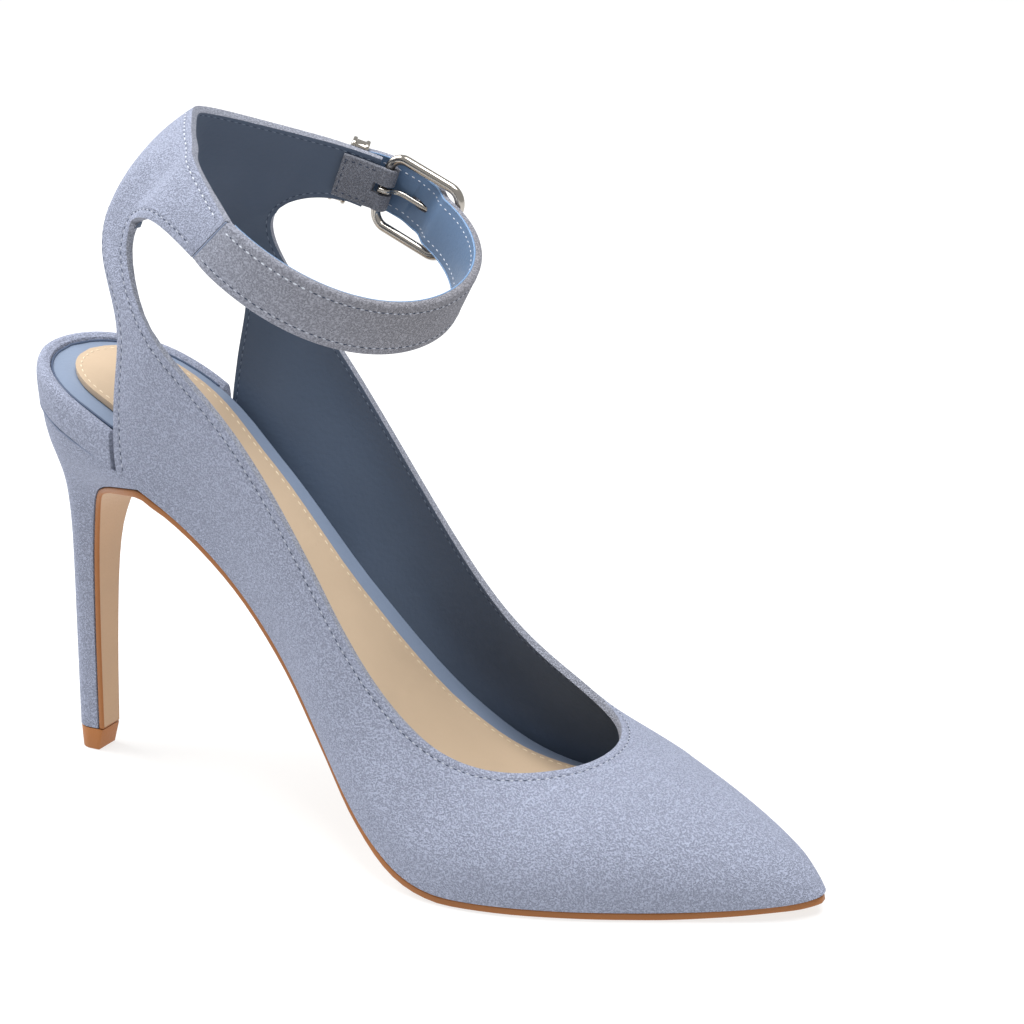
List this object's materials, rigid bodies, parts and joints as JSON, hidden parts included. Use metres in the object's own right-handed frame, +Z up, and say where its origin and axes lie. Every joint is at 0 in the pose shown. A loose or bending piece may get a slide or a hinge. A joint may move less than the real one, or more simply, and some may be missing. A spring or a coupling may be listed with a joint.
{
  "type": "high heel shoe",
  "caption": "Left open-back pointed-toe pump with a slim high heel, ankle band and buckled ankle strap, standing empty on its sole and heel tip.",
  "frame": {"origin": "on the floor, under the middle of the shoe's box", "axes": "+X from heel to toe, +Y to the outer side, +Z up"},
  "size_m": [0.211, 0.0818, 0.1729],
  "materials": {
    "suede": "matt powder-blue suede",
    "insole_leather": "smooth blue leather",
    "sock_leather": "smooth tan leather",
    "sole_leather": "smooth tan sole with a brown edge",
    "tip_rubber": "satin brown",
    "nickel": "polished"
  },
  "bodies": {
    "root": {"upper": "suede", "ankle_strap": "suede", "buckle_loop": "suede", "seat_rim": "suede", "heel": "suede", "heel_tip": "tip_rubber", "outsole": "sole_leather", "insole": "insole_leather", "sock": "sock_leather", "buckle_frame": "nickel", "buckle_prong": "nickel", "keeper": "nickel"}
  },
  "joints": []
}
